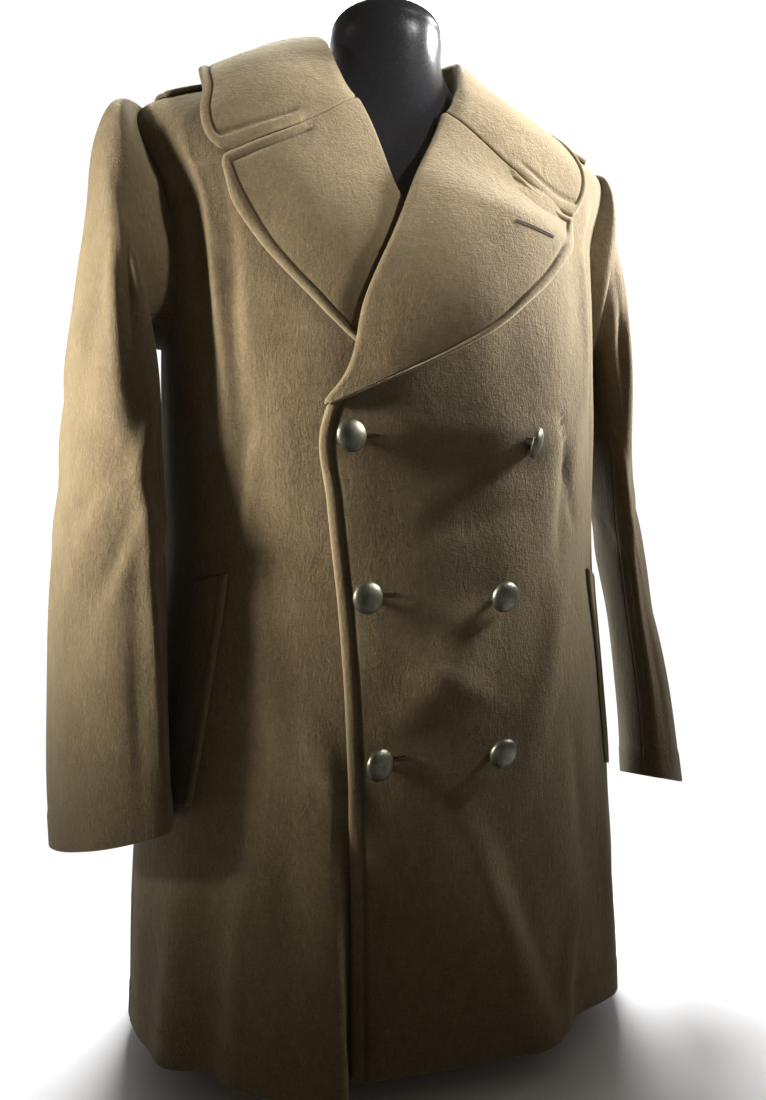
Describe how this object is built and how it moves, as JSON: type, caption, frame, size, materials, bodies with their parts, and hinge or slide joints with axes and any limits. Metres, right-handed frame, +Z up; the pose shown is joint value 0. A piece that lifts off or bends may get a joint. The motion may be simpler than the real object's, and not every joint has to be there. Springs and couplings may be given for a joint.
{
  "type": "short double-breasted military greatcoat on a limbless dress form",
  "caption": "Thigh-length double-breasted wool military coat, buttoned left over right, with wide lapels, filled out by a smooth black limbless torso form.",
  "frame": {"origin": "centre of the dress form's flat base, on the floor", "axes": "+Z up; -Y is the front of the coat, so the wearer's left is +X"},
  "size_m": [0.6061, 0.3506, 0.918],
  "materials": {
    "olive_wool": "felted wool cloth with a soft nap, olive drab",
    "form_black": "gloss black",
    "button_bronze": "dull grey-green bronzed metal"
  },
  "bodies": {
    "root": {"dress_form": "form_black", "front_left": "olive_wool", "front_right": "olive_wool", "back_left": "olive_wool", "back_right": "olive_wool", "sleeve_top_left": "olive_wool", "sleeve_top_right": "olive_wool", "sleeve_under_left": "olive_wool", "sleeve_under_right": "olive_wool", "lapel_left": "olive_wool", "lapel_right": "olive_wool", "collar": "olive_wool", "shoulder_strap_left": "olive_wool", "shoulder_strap_right": "olive_wool", "pocket_welt_left": "olive_wool", "pocket_welt_right": "olive_wool", "button_fastened_1": "button_bronze", "button_fastened_2": "button_bronze", "button_fastened_3": "button_bronze", "button_outer_1": "button_bronze", "button_outer_2": "button_bronze", "button_outer_3": "button_bronze"}
  },
  "joints": []
}
